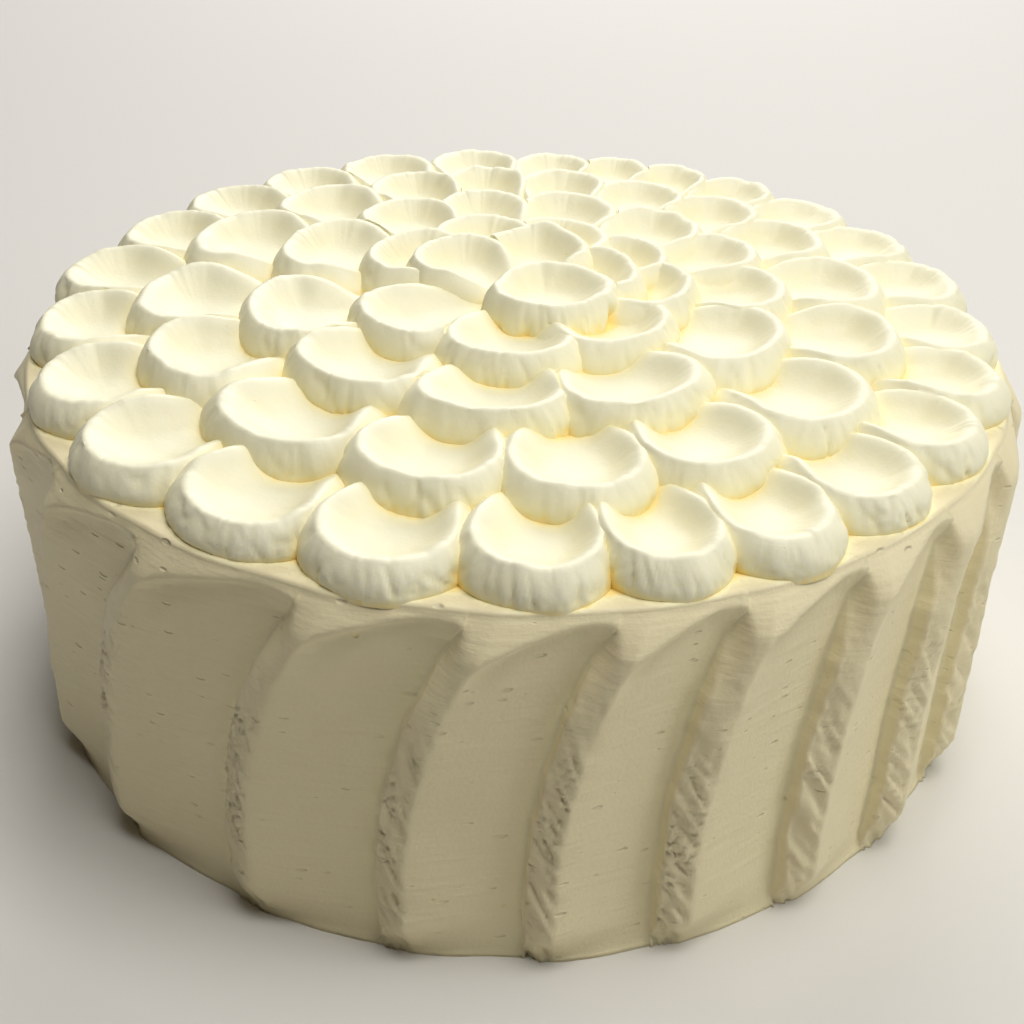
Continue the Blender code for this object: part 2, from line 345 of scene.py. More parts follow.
def side_lean(bearing, height):
    """How far in degrees a ridge has leant over at a height, more so on the left of the cake."""
    most = LEAN_MEAN - LEAN_SWING * np.cos(np.radians(bearing))
    return most * np.clip((height - LEAN_START) / LEAN_SPAN, 0.0, None) ** LEAN_POWER


def arch_height(stroke, start):
    """Height at which a stroke's hollow ends under the lip, lowest at its ridge and lower on the right."""
    low = ARCH_MEAN - ARCH_SWING * np.cos(np.radians(start))
    before = mix(ARCH_HIGH, low, stroke / RIDGE_CREST)
    return np.where(stroke < RIDGE_CREST, before, mix(low, ARCH_HIGH, hollow_share(stroke) ** ARCH_POWER))


print("a ridge leans up to", round(float(side_lean(180.0, TOP_HEIGHT)), 1), "degrees round the cake")

# %% [markdown]
# The marks of the knife go on top: torn creases across the face of a ridge, a ragged crest and left edge,
# and waves and fine streaks in the hollow. They could be sculpted, but stretched noise gives every ridge
# its own. It moves a point only along the radius or a little round the cake, so the mesh never folds over.

# %% The marks of the knife
CREASE_DEPTH = 0.00105
CREASE_WIDTH = 0.0020
CREASE_SLOPE = 0.010
BROAD_CREASES = 2.2
CALM_HEIGHTS = (0.050, 0.066)
CREST_RAGGED = 0.0004
CREST_WIDTH = 0.05
HOLLOW_WAVE = 0.00035
STREAK_DEPTH = 0.00007
EDGE_WAVES = ((0.6, 7.3, 0.011, 11), (0.5, 3.9, 0.0030, 12))


def edge_wander(owner, height):
    """How far the ragged left edge of a ridge wanders round the cake: a slow wave and a quick one."""
    return sum(share * soft_noise(owner * spread, height / length, 0.5, seed)
               for share, spread, length, seed in EDGE_WAVES)


def torn_creases(stroke, owner, height):
    """Creases that slope across the face of a ridge: fine ones, and broader ones between them."""
    sloping = height + CREASE_SLOPE * stroke / RIDGE_CREST
    fine = groove(soft_noise(sloping / CREASE_WIDTH, stroke * 3.5, owner * 5.7, 14))
    broad = groove(soft_noise(sloping / (BROAD_CREASES * CREASE_WIDTH), stroke * 6.0, owner * 9.1, 15))
    return fine + 0.8 * broad


def knife_marks(radius, stroke, owner, arc, height, under_lip):
    """The unevenness that the knife leaves on the face of a ridge, at its crest and in the hollow."""
    past_crest = smooth_step(RIDGE_CREST * 0.8, RIDGE_CREST * 1.15, stroke)
    on_face = smooth_step(0.0, 0.03, stroke) * (1.0 - past_crest)
    calm = (1.0 - 0.75 * smooth_step(*CALM_HEIGHTS, height)) * (1.0 - under_lip)
    marks = -CREASE_DEPTH * torn_creases(stroke, owner, height) * on_face * calm
    crest = np.exp(-((stroke - RIDGE_CREST) / CREST_WIDTH) ** 2)
    ragged = soft_noise(height / 0.003, owner * 4.3, 0.5, 16)
    ragged = ragged + soft_noise(height / 0.009, owner * 2.3, 0.5, 17)
    marks = marks - CREST_RAGGED * np.abs(ragged) * crest * (1.0 - under_lip)
    waves = soft_noise(arc / 0.016, height / 0.022, 0.5, 18)
    waves = waves + 0.5 * soft_noise(arc / 0.007, height / 0.012, 0.5, 19)
    streaks = soft_noise(arc / 0.014, height / 0.0015, 0.5, 20)
    return radius + marks + HOLLOW_WAVE * waves + STREAK_DEPTH * streaks * (1.0 - on_face)


print("creases are up to", round(1000 * CREASE_DEPTH, 2), "mm deep")

# %% [markdown]
# Above each arch the icing of the ridge bends over into a band, thick over the left of a hollow and thin at
# its right, which ends in the lip of the cake. It is a soft bevel whose lower edge follows the arch. Under
# it the hollow is pressed in to a ledge, and at the foot the icing spreads out. Separate shapes could be
# joined for these, but all of them only change the radius, so one rule does it.

# %% The radius of the side
BAND_END_RADIUS = 0.1166
BAND_BEVEL = 0.0085
BAND_POWER = 1.4
SHARP_BLEND = 0.0008
FACE_BLEND = 0.0050
LIP_RADIUS = 0.948 * CAKE_RADIUS
LEDGE_REACH = 0.012
LEDGE_DEPTH = 0.30
FOOT_HEIGHT = 0.011
FOOT_FADE = 0.22
FOOT_SPREAD = 0.0018
SPREAD_HEIGHT = 0.0016
SIDE_CLEARANCE = 0.00015


def side_radius(stroke, owner, start, arc, height):
    """How far each point of the side is from the middle of the cake."""
    foot = mix(FOOT_FADE, 1.0, smooth_step(0.0, FOOT_HEIGHT, height))
    arch = arch_height(stroke, start) + 0.0006 * soft_noise(arc / 0.011, 0.5, 0.5, 13)
    near_arch = smooth_step(-LEDGE_REACH, 0.0, height - arch)
    ledge = 1.0 - LEDGE_DEPTH * near_arch * smooth_step(0.0, 0.2, hollow_share(stroke))
    hollow = mix(VALLEY_RADIUS, CREST_RADIUS, ridge_height(stroke, height) * foot * ledge)
    from_crest = np.where(stroke < RIDGE_CREST, 1.0 - stroke / RIDGE_CREST, hollow_share(stroke))
    band_edge = mix(CREST_RADIUS, BAND_END_RADIUS, from_crest)
    up_bevel = np.clip((height - TOP_HEIGHT + BAND_BEVEL) / BAND_BEVEL, 0.0, 1.0)
    band = LIP_RADIUS + (band_edge - LIP_RADIUS) * (1.0 - up_bevel ** BAND_POWER)
    past_crest = smooth_step(RIDGE_CREST * 0.8, RIDGE_CREST * 1.3, stroke)
    at_face = smooth_step(0.0, 0.08, stroke) * (1.0 - past_crest)
    under_lip = smooth_step(-1.0, 1.0, (height - arch) / (SHARP_BLEND + FACE_BLEND * at_face))
    radius = knife_marks(mix(hollow, band, under_lip), stroke, owner, arc, height, under_lip)
    uneven = 0.5 + 0.5 * soft_noise(arc / 0.009, 0.5, 0.5, 21)
    spread = FOOT_SPREAD * uneven * np.exp(-height / SPREAD_HEIGHT)
    return np.minimum(radius + spread, CAKE_RADIUS - SIDE_CLEARANCE)


print("the lip is", round(1000 * LIP_RADIUS, 1), "mm from the middle")

# %% [markdown]
# Down in a crease the icing is painted a deeper yellow. This is painted shade, for the light that bounces
# from icing to icing there. An ambient occlusion node would find the creases but is slow. So each point of
# the side is compared with the mean surface round it, and how far it lies below becomes a value on the mesh
# that sets the painted shade.

# %% The painted shade in the creases of the side
EVEN_STEP = 0.25
MEAN_COLUMNS = 7
MEAN_ROWS = 3
# Painted shade in the side's creases: full at this depth below the mean, and never more than half way along
# the ramp.
SIDE_SHADE_DEPTH = 0.0026
SIDE_SHADE_MOST = 0.5
FULL_TURN = 2 * math.pi


def side_crease_shade(radius, angle):
    """How much painted shade each point of the side gets: how far it lies below the mean surface round it."""
    even = np.radians(np.arange(0.0, 360.0, EVEN_STEP))
    spread = np.array([np.interp(even, line_angle, line, period=FULL_TURN)
                       for line, line_angle in zip(radius, angle)])
    columns = range(-MEAN_COLUMNS, MEAN_COLUMNS + 1)
    wide = np.mean([np.roll(spread, step, axis=1) for step in columns], axis=0)
    own_row = np.arange(len(wide))
    near_rows = [np.clip(own_row + step, 0, own_row[-1]) for step in range(-MEAN_ROWS, MEAN_ROWS + 1)]
    tall = np.mean([wide[row] for row in near_rows], axis=0)
    mean = np.array([np.interp(line_angle % FULL_TURN, even, line, period=FULL_TURN)
                     for line, line_angle in zip(tall, angle)])
    return SIDE_SHADE_MOST * np.clip((mean - radius) / SIDE_SHADE_DEPTH, 0.0, 1.0)


print("the mean is taken over", (2 * MEAN_COLUMNS + 1) * EVEN_STEP, "degrees")

# %% [markdown]
# Now the grid itself. Its columns follow the strokes as they lean, close together over the ridge, where the
# detail is, and wider apart in the hollow. Straight columns would cut the ridges into steps. The last rows
# round the lip over and run in to the middle of the flat top.

# %% The side of the cake
FACE_COLUMNS = 15
HOLLOW_COLUMNS = 15
FACE_END = 0.26
SIDE_ROW_STEP = 0.00072
RAGGED_EDGE = 0.0011
RAGGED_FADE_HEIGHTS = (0.068, 0.080)
LIP_ROWS = 6
LIP_ROUND = 0.0010
TOP_ROWS = (0.985, 0.97, 0.955, 0.94, 0.925, 0.91, 0.88, 0.8, 0.5)
HOLLOW_SHADE = 0.10


def stroke_places():
    """Shares of a stroke where the grid has its columns."""
    wall = np.array([0.0, 0.35, 0.7, 1.0]) * WALL_SHARE
    face = np.linspace(WALL_SHARE, FACE_END, FACE_COLUMNS - 3)[1:]
    hollow = np.linspace(0.0, 1.0, HOLLOW_COLUMNS, endpoint=False)[1:] ** 0.9
    return np.concatenate([wall, face, FACE_END + (1.0 - FACE_END) * hollow])


def ring_row(radius, angle, height):
    """One level row of points."""
    return np.stack([radius * np.cos(angle), radius * np.sin(angle), np.full_like(radius, height)], -1)


def top_rows(radius, angle):
    """The rows that round the lip over and cover the flat top."""
    rows = []
    for step in range(1, LIP_ROWS + 1):
        turn = 0.5 * math.pi * step / LIP_ROWS
        level = TOP_HEIGHT - LIP_ROUND * (1.0 - math.sin(turn))
        rows.append(ring_row(radius - LIP_ROUND * (1.0 - math.cos(turn)), angle, level))
    return rows + [ring_row(radius * reach, angle, TOP_HEIGHT) for reach in TOP_ROWS]


def make_side():
    """The whole drum, base, side, lip and flat top, and the painted shade of each point: in creases and
    hollows.
    """
    starts = np.array(ridges, float)
    ends = np.array(ridges[1:] + [ridges[0] + 360], float)
    strokes = stroke_places()
    bearing = (starts[:, None] + (ends - starts)[:, None] * strokes[None, :]).ravel()[None, :]
    stroke = np.tile(strokes, len(starts))[None, :]
    owner = np.repeat(np.arange(len(starts)), len(strokes))[None, :]
    heights = np.linspace(0.0, TOP_HEIGHT - LIP_ROUND, int(TOP_HEIGHT / SIDE_ROW_STEP))
    height = heights[:, None]
    at_edge = np.maximum(1.0 - smooth_step(0.0, 0.16, stroke), smooth_step(0.985, 1.0, stroke))
    own_edge, next_edge = edge_wander(owner, height), edge_wander((owner + 1) % len(starts), height)
    wave = np.where(stroke > 0.5, next_edge, own_edge) * at_edge
    wave = wave * (1.0 - smooth_step(*RAGGED_FADE_HEIGHTS, height))
    angle = np.radians(bearing + side_lean(bearing, height)) + wave * RAGGED_EDGE / CAKE_RADIUS
    radius = side_radius(stroke, owner, starts[owner], angle * CAKE_RADIUS, height)
    # Painted shade: in the creases, and more towards the right end of each hollow, beside the next ridge.
    painted_shade = side_crease_shade(radius, angle) + HOLLOW_SHADE * smooth_step(0.35, 1.0, hollow_share(stroke))
    rows = [ring_row(line, line_angle, level) for line, line_angle, level in zip(radius, angle, heights)]
    rows = rows + top_rows(radius[-1], angle[-1])
    unfolded = np.zeros((len(rows) - len(painted_shade)) * painted_shade.shape[1] + 2)
    return closed_mesh("iced_side", np.array(rows)), np.concatenate([painted_shade.ravel(), unfolded])


iced_side, side_shade = make_side()
print("iced_side:", len(iced_side.data.polygons), "faces")

# %% [markdown]
# A petal starts as a dollop. The back of a spoon presses into it and drags it towards the middle of the
# cake, which leaves a smooth bowl with a thick rim at its outer end. Petals could be copies of one, but on
# the real cake no two are alike. So each ring is one row of a table, and a few random draws make each petal
# its own. The draws are those of the solids, so every petal sits where its solid is. Its bowl is a little
# shallower, and some petals are a little wider.

# %% The rings of petals
Ring = namedtuple("Ring", "name bearings tip_radius front tail widest crest floor ground")

RINGS = (
    Ring("petals_outer",
         (187.5, 205, 221.5, 240.5, 257, 273.5, 286.5, 299.5, 314, 329, 343, 357, 12.5,
          27, 41, 54, 65, 75, 85, 98, 113.5, 127.5, 141, 156, 172),
         0.1115, 0.0170, 0.0290, 0.0210, 0.0950, 0.0913, TOP_HEIGHT),
    Ring("petals_second",
         (185, 204, 234, 258, 280, 300, 324, 347, 10, 31.5, 48, 65, 82, 98, 112, 133, 154),
         0.0885, 0.0170, 0.0270, 0.0226, 0.0982, 0.0937, 0.0904),
    Ring("petals_third",
         (197, 229, 266, 297, 337, 5, 27, 49, 78, 102, 123, 153),
         0.0642, 0.0165, 0.0250, 0.0218, 0.1006, 0.0960, 0.0924),
    Ring("petals_fourth",
         (218, 268, 317, 3, 33, 73, 108, 148),
         0.0416, 0.0150, 0.0290, 0.0176, 0.1022, 0.0975, 0.0946),
    Ring("petals_inner",
         (16, 78, 144),
         0.0290, 0.0145, 0.0180, 0.0155, 0.1034, 0.0985, 0.0962),
)
print("petals:", sum(len(ring.bearings) for ring in RINGS))

# %% [markdown]
# The last dollop has a rim that goes all the way round, with three notches in its face, and the petal
# behind it comes to a soft peak. Both follow the rules of a petal with a few changes, so the icing matches.

# %% The middle of the cake
Notch = namedtuple("Notch", "bearing width depth")

DOLLOP = Ring("centre_dollop", (280,), 0.0, 0.0162, 0.0160, 0.0160, 0.1053, 0.0996, 0.0962)
DOLLOP_WIDTHS = (0.0160, 0.0186)
DOLLOP_CENTRE = (0.0068, -0.0076)
DOLLOP_NOTCHES = (Notch(48.0, 7.0, 0.0026), Notch(-30.0, 5.0, 0.0010), Notch(8.0, 4.0, 0.0008))
DOLLOP_MARK = 999
PEAKED_PETAL = ("petals_inner", 78)
PEAK_RISE = 0.0013
PEAK_REACH = 0.0030
PEAK_WIDTH = 25.0
SHOULDER_WIDTH = 22.0
SHOULDER_BEARING = 55.0
print("the dollop is", round(1000 * sum(DOLLOP_WIDTHS), 1), "mm wide")

# %% [markdown]
# The section across the rim makes it read as icing: tucked in at its foot, bulging over it, rounded at the
# crest, then a smooth wall that eases into the bowl. It is a few pairs of a share of the petal's outline and
# a share of its height, joined by a smooth curve. A bevelled curve would give a rim of one thickness.

# %% The section across a rim
FACE_SECTION = ((0.980, -0.30), (0.980, -0.04), (0.989, 0.05), (1.0, 0.16), (0.998, 0.29), (0.978, 0.45),
                (0.940, 0.63), (0.888, 0.80), (0.828, 0.935))
BOWL_SECTION = ((0.775, 0.995), (0.722, 0.975), (0.668, 0.88), (0.608, 0.72), (0.540, 0.52), (0.460, 0.32),
                (0.360, 0.145), (0.235, 0.038), (0.100, 0.0))
POINTS_PER_PIECE = 2


def smooth_curve(points, pieces):
    """Points of a smooth curve through the given points, pieces between each two."""
    points = np.array(points, float)
    before = np.vstack([2 * points[0] - points[1], points, 2 * points[-1] - points[-2]])
    out = []
    for index in range(len(points) - 1):
        a, b, c, d = before[index:index + 4]
        for share in np.arange(pieces) / pieces:
            tangent_b, tangent_c = 0.5 * (c - a), 0.5 * (d - b)
            s2, s3 = share ** 2, share ** 3
            out.append((2 * s3 - 3 * s2 + 1) * b + (s3 - 2 * s2 + share) * tangent_b
                       + (3 * s2 - 2 * s3) * c + (s3 - s2) * tangent_c)
    out.append(points[-1])
    return np.array(out)


face_curve = smooth_curve(FACE_SECTION, POINTS_PER_PIECE)
bowl_curve = smooth_curve((FACE_SECTION[-1],) + BOWL_SECTION, POINTS_PER_PIECE)[1:]
print("points across a rim:", len(face_curve) + len(bowl_curve))

# %% [markdown]
# Seen from above, a petal is two half ellipses, blunt at the tip and long at the tail. Its width comes from
# the room up to its neighbours, plus a lap. The points stand close together round the front, which shows,
# and further apart round the tail, which the next ring covers.

# %% The outline of a petal
PETAL_SIDES = 120
FRONT_CROWDING = 0.42
WIDTH_AT = 0.85
SIDE_OVERLAP = 0.0036
LEAST_HALF_WIDTH = 0.0125
TAIL_TAPER = 0.30
OUTLINE_WANDER = 0.020


def half_width(gap, ring):
    """Half the width of a petal on the side where the next one lies gap degrees away."""
    arc = math.radians(gap) * WIDTH_AT * ring.tip_radius
    return min(ring.widest, max(LEAST_HALF_WIDTH, 0.5 * arc + SIDE_OVERLAP))


def petal_turns():
    """Directions round a petal, 0 at its tip: in degrees, and their shares forward and to the side."""
    even = -math.pi + 2.0 * math.pi * np.arange(PETAL_SIDES) / PETAL_SIDES
    turn = np.degrees(even - FRONT_CROWDING * np.sin(even))
    return turn, np.cos(np.radians(turn)), np.sin(np.radians(turn))


def petal_outline(ring, half_widths, tip_change, mark, peaked):
    """The outline of a petal seen from above, as places forward and to the side of its centre."""
    turn, forward, side = petal_turns()
    length = np.where(forward > 0, ring.front + tip_change, ring.tail)
    taper = 1.0 - TAIL_TAPER * np.maximum(0.0, -forward)
    width = np.where(side < 0, half_widths[0], half_widths[1]) * taper
    wander = 1.0 + OUTLINE_WANDER * soft_noise(3.0 * forward, 3.0 * side, mark * 2.9, 33)
    if peaked:
        shoulders = np.exp(-((np.abs(turn) - SHOULDER_BEARING) / SHOULDER_WIDTH) ** 2)
        length = length * (1.0 - 0.10 * shoulders) + PEAK_REACH * np.exp(-(turn / PEAK_WIDTH) ** 2)
    return np.stack([length * forward * wander, width * side * wander], -1)


print("a petal has", PETAL_SIDES, "sides")

# %% [markdown]
# The rim stands high round the front and ends in a thick horn on each side, which leans in over the bowl
# and slims a little before it drops to the floor. A horn stays lower than the crest of the next ring, or it
# would show as a thin blade against it. The crest wanders as the hand did, and is a little tattered.

# %% The rim of a petal
CREST_BOOST = 0.0007
CREST_WANDER = 0.00045
CREST_TATTER = 0.00030
HORN_RISE = 0.0013
HORN_START = 96.0
HORN_END = 172.0
HORN_DROP = 0.0002
HORN_SLIM = 0.96
SLIM_TURNS = (45.0, 130.0)
HORN_LEAN = 0.10
LEAN_TURNS = (40.0, 115.0)
COVERED_HORN = 0.45
HORN_BELOW = 0.0008
STANDING_HEIGHT = 0.003
crest_inside = {ring.name: inner.crest for ring, inner in zip(RINGS, RINGS[1:] + (DOLLOP,))}


def horned_rim(ring, crest):
    """Height of a rim with two horns all the way round, how slim it gets and how far it leans in."""
    turn, forward, side = petal_turns()
    lean = HORN_LEAN * smooth_step(*LEAN_TURNS, np.abs(turn))
    horn = crest + HORN_RISE * (1.0 - forward) * np.where(side > 0, COVERED_HORN, 1.0)
    horn = np.minimum(horn, max(crest, crest_inside[ring.name] - HORN_BELOW))
    rim = mix(ring.floor - HORN_DROP, horn, 1.0 - smooth_step(HORN_START, HORN_END, np.abs(turn)))
    slim = mix(1.0, HORN_SLIM, smooth_step(*SLIM_TURNS, np.abs(turn)))
    return rim, slim, lean


def petal_rim(ring, lift, arc, mark, whole_rim, peaked):
    """Height of a petal's rim with its unevenness, how slim it is, how it leans and where it stands up."""
    turn, forward, side = petal_turns()
    if whole_rim:
        rim, slim, lean = np.full(PETAL_SIDES, ring.crest + lift), np.ones(PETAL_SIDES), np.zeros(PETAL_SIDES)
    else:
        rim, slim, lean = horned_rim(ring, ring.crest + lift + CREST_BOOST)
    standing = smooth_step(0.0, STANDING_HEIGHT, rim - ring.floor)
    rim = rim - standing * CREST_WANDER * (0.8 + soft_noise(3.0 * forward, 3.0 * side, mark * 3.7, 31))
    rim = rim - standing * CREST_TATTER * np.abs(soft_noise(arc / 0.0016, 0.5, mark * 5.1, 32))
    if peaked:
        rim = rim + PEAK_RISE * np.exp(-(turn / PEAK_WIDTH) ** 2)
    return rim, slim, lean, standing


print("horns end", round(HORN_END), "degrees from the tip")

# %% [markdown]
# Down the outer face run pleats, where the spoon let go and the icing tore a little: broad lobes and narrow
# pleats between them, deeper in some patches than in others. A bump in the material would be simpler, but
# the lower edge of a petal shows its pleats in outline, so they are real.

# %% The pleats on the face of a petal
LOBE_DEPTH = 0.00080
LOBE_WIDTH = 0.0034
PLEAT_DEPTH = 0.00042
PLEAT_WIDTH = 0.0014
CALM_PLEATS = 0.35


def face_push(rise, arc, mark, standing, notches):
    """How far the outer face is pressed in at one share of its height."""
    on_face = float(smooth_step(-0.05, 0.25, rise) * (1.0 - 0.7 * smooth_step(0.75, 1.0, rise)))
    slant = arc + 0.0018 * rise + 0.0008 * soft_noise(arc / 0.006, rise * 2.0, mark * 2.3, 37)
    lobes = groove(soft_noise(slant / LOBE_WIDTH, rise * 0.8, mark * 1.7, 34))
    pleats = groove(soft_noise(slant / PLEAT_WIDTH, rise * 1.5, mark * 1.3, 35))
    torn = smooth_step(-0.5, 0.4, soft_noise(arc / 0.009, rise * 1.2, mark * 6.1, 38))
    push = (LOBE_DEPTH * lobes + PLEAT_DEPTH * pleats) * mix(CALM_PLEATS, 1.0, torn) * on_face * standing
    turn = petal_turns()[0]
    for notch in notches:
        dent = np.exp(-((turn - notch.bearing - 6.0 * rise) / notch.width) ** 2)
        push = push + notch.depth * dent * float(1.0 - smooth_step(0.3, 0.8, rise))
    return push


print("pleats are", round(1000 * PLEAT_WIDTH, 1), "mm wide")

# %% [markdown]
# Now one whole petal: the section is carried round the outline, row by row, first up the outer face and
# then down the wall of the bowl to its floor, which isn't quite even. The first row goes a little into the
# cake, so the petal grows out of it without a gap.

# %% One petal
BOWL_WAVE = 0.00022
ROOT_HEIGHT = TOP_HEIGHT - 0.0004
FOOT_DEPTH = 0.004


def petal_rows(ring, centre, bearing, half_widths, tip_change, lift, mark, whole_rim=False, peaked=False):
    """The rows of points of one petal, those of its outer face and those of its bowl."""
    outward = np.array([math.cos(math.radians(bearing)), math.sin(math.radians(bearing)), 0.0])
    across = np.array([-outward[1], outward[0], 0.0])
    middle = np.array([centre[0], centre[1], 0.0])
    turn, forward, side = petal_turns()
    arc = np.radians(turn) * 0.5 * (ring.front + max(half_widths))
    outline = petal_outline(ring, half_widths, tip_change, mark, peaked)
    reach = np.linalg.norm(outline, axis=1)
    rim, slim, lean, standing = petal_rim(ring, lift, arc, mark, whole_rim, peaked)

    def placed(flat, up):
        row = flat[:, :1] * outward + flat[:, 1:] * across + middle
        row[:, 2] = up
        return row

    face_rows = []
    for share, rise in face_curve:
        up = mix(ring.ground, rim, rise) if rise >= 0 else ring.ground + rise * FOOT_DEPTH
        push = face_push(rise, arc, mark, standing, DOLLOP_NOTCHES if whole_rim else ())
        leant = share * (1.0 - lean * max(rise, 0.0) ** 1.4)
        face_rows.append(placed(outline * (leant * (1.0 - push / reach))[:, None], up))
    bowl_rows = []
    for share, fall in bowl_curve:
        inner = (share ** slim * (1.0 - lean))[:, None]
        wave = BOWL_WAVE * soft_noise(forward * share * 2.2, side * share * 2.2, mark * 4.1, 36)
        bowl_rows.append(placed(outline * inner, mix(ring.floor, rim, fall) + wave * (1.0 - fall)))
    root = face_rows[0].copy()
    root[:, 2] = ROOT_HEIGHT
    return np.array([root] + face_rows), np.array(bowl_rows)


face_rows, bowl_rows = petal_rows(DOLLOP, DOLLOP_CENTRE, DOLLOP.bearings[0], DOLLOP_WIDTHS,
                                  0.0, 0.0, DOLLOP_MARK, whole_rim=True)
centre_swirl = closed_mesh("centre_swirl", np.concatenate([face_rows, bowl_rows]))
print("centre_swirl:", len(centre_swirl.data.polygons), "faces")

# %% [markdown]
# When a petal is laid, the spoon wipes away whatever was there before. So each petal is cut back by a plug
# of the petal that follows it in its ring: the same outer face, closed above the bowl. The plug is a hair
# smaller than the petal, so the two grow together and meet in a crisp crease.

# %% A plug in the shape of a petal
PLUG_SHRINK = 0.0004
PLUG_TOP = 0.125
PLUG_FOOT = 0.0006


def make_plug(name, face_rows, centre):
    """A solid with the outer face of a petal, a little smaller, carried straight up from its crest."""
    rows = np.concatenate([face_rows, face_rows[-1:]])
    rows[0, :, 2] -= PLUG_FOOT
    rows[-1, :, 2] = PLUG_TOP
    flat = rows[:, :, :2] - np.array(centre)
    reach = np.linalg.norm(flat, axis=2, keepdims=True)
    change = np.full((len(rows), 1, 1), -PLUG_SHRINK)
    change[-2:] = PLUG_SHRINK
    rows[:, :, :2] = np.array(centre) + flat * (1.0 + change / reach)
    return closed_mesh(name, rows)


plugs_inside = [make_plug("plug_centre", face_rows, DOLLOP_CENTRE)]
print("plugs:", len(plugs_inside))

# %% [markdown]
# Cutting and joining are both a Boolean modifier. Its Manifold solver is the quickest for closed meshes,
# and it takes a whole collection in one step. Reading the result back applies it without an operator.

# %% Cutting and joining
def boolean(target, others, operation):
    """Join others to target, or cut them out of it, in one step."""
    group = bpy.data.collections.new("operands")
    bpy.context.scene.collection.children.link(group)
    for item in others:
        group.objects.link(item)
    modifier = target.modifiers.new(operation.title(), "BOOLEAN")
    modifier.operation = operation
    modifier.operand_type = "COLLECTION"
    modifier.collection = group
    modifier.solver = "MANIFOLD"
    bpy.context.view_layer.update()
    evaluated = target.evaluated_get(bpy.context.evaluated_depsgraph_get())
    result = bpy.data.meshes.new_from_object(evaluated)
    target.modifiers.clear()
    target.data = result
    for item in others:
        group.objects.unlink(item)
    bpy.data.collections.remove(group)


print("cuts are ready")

# %% [markdown]
# A cut can leave a loose crumb, such as the end of a rim that sticks out past the plug. Each piece of a
# mesh that hangs together is measured, and the small ones are deleted.

# %% Dropping the crumbs
CRUMB_SIZE = 0.007


def joined_points(start):
    """All points of a mesh that hang together with the one given."""
    island, seen = [start], {start}
    for point in island:
        for edge in point.link_edges:
            other = edge.other_vert(point)
            if other not in seen:
                seen.add(other)
                island.append(other)
    return island


def drop_crumbs(item):
    """Remove the loose crumbs of icing that a cut leaves behind."""
    shape = bmesh.new()
    shape.from_mesh(item.data)
    seen, crumbs = set(), []
    for start in shape.verts:
        if start not in seen:
            island = joined_points(start)
            seen.update(island)
            places = np.array([point.co for point in island])
            if np.linalg.norm(np.ptp(places, axis=0)) < CRUMB_SIZE:
                crumbs.extend(island)
    bmesh.ops.delete(shape, geom=crumbs, context="VERTS")
    shape.to_mesh(item.data)
    shape.free()
    return len(crumbs)


print("crumbs are smaller than", round(1000 * CRUMB_SIZE), "mm")

# %% [markdown]
# The rings are laid from the middle outwards, so that the plugs of the rings inside are there to cut the
# next one. The petals of a ring are joined into one mesh, as they are one piece of icing in the solids too.
# A last step keeps edges crisp only where two petals meet, and smooth everywhere else.

# %% Laying the rings
HORN_LAP = 0.0014
CREST_SHARE = 0.86
TIP_JITTER = 0.0010
HEIGHT_JITTER = 0.0004
TWIST_JITTER = 5.0
MARKS_PER_RING = 40
SHARP_ANGLE = math.radians(50)


def lay_ring(ring, number):
    """The petals of one ring and their plugs, each petal cut back by the next."""
    rng = random.Random(SEED + number)
    petals, plugs = [], []
    count = len(ring.bearings)
    for index, bearing in enumerate(ring.bearings):
        twist = rng.uniform(-TWIST_JITTER, TWIST_JITTER)
        tip_change = rng.uniform(-TIP_JITTER, TIP_JITTER)
        lift = rng.uniform(-HEIGHT_JITTER, HEIGHT_JITTER)
        gap_before = (bearing - ring.bearings[index - 1]) % 360
        gap_after = (ring.bearings[(index + 1) % count] - bearing) % 360
        half_widths = (half_width(gap_before, ring) + HORN_LAP, half_width(gap_after, ring))
        distance = ring.tip_radius - ring.front * CREST_SHARE
        angle = math.radians(bearing)
        centre = (distance * math.cos(angle), distance * math.sin(angle))
        face_rows, bowl_rows = petal_rows(ring, centre, bearing + twist, half_widths, tip_change, lift,
                                          number * MARKS_PER_RING + index,
                                          peaked=(ring.name, bearing) == PEAKED_PETAL)
        petals.append(closed_mesh(f"{ring.name}_{index}", np.concatenate([face_rows, bowl_rows])))
        plugs.append(make_plug(f"plug_{number}_{index}", face_rows, centre))
    for index, petal in enumerate(petals):
        boolean(petal, [plugs[(index + 1) % count]], "DIFFERENCE")
    return petals, plugs


dressed = {"centre_dollop": centre_swirl}
for number in reversed(range(len(RINGS))):
    ring = RINGS[number]
    petals, plugs = lay_ring(ring, number)
    fused = petals[0]
    boolean(fused, petals[1:], "UNION")
    boolean(fused, plugs_inside, "DIFFERENCE")
    for petal in petals[1:]:
        bpy.data.objects.remove(petal, do_unlink=True)
    fused.name = ring.name.replace("petals", "swept_petals")
    crumbs = drop_crumbs(fused)
    dressed[ring.name] = fused
    plugs_inside.extend(plugs)
    print(fused.name, len(fused.data.polygons), "faces,", crumbs, "points of crumbs dropped")
for plug in plugs_inside:
    bpy.data.objects.remove(plug, do_unlink=True)
for item in dressed.values():
    item.data.shade_smooth()
    item.data.set_sharp_from_angle(angle=SHARP_ANGLE)

# %% [markdown]
# The creases of the top, which get painted shade, are found with a map of its height, seen from straight
# above.
# A point well below the blurred height round it lies in a crease, also on the flat top between the petals.
# Ray casts would be more exact, but take far longer.

# %% A height map of the top
MAP_HALF = 0.124
MAP_CELL = 0.0008
MAP_CELLS = int(2 * MAP_HALF / MAP_CELL)
MAP_FLOOR = TOP_HEIGHT - 0.004
SHADE_REACH = 3


def item_points(item):
    """All points of a mesh as rows of x, y and z."""
    places = np.empty(len(item.data.vertices) * 3, np.float32)
    item.data.vertices.foreach_get("co", places)
    return places.reshape(-1, 3)


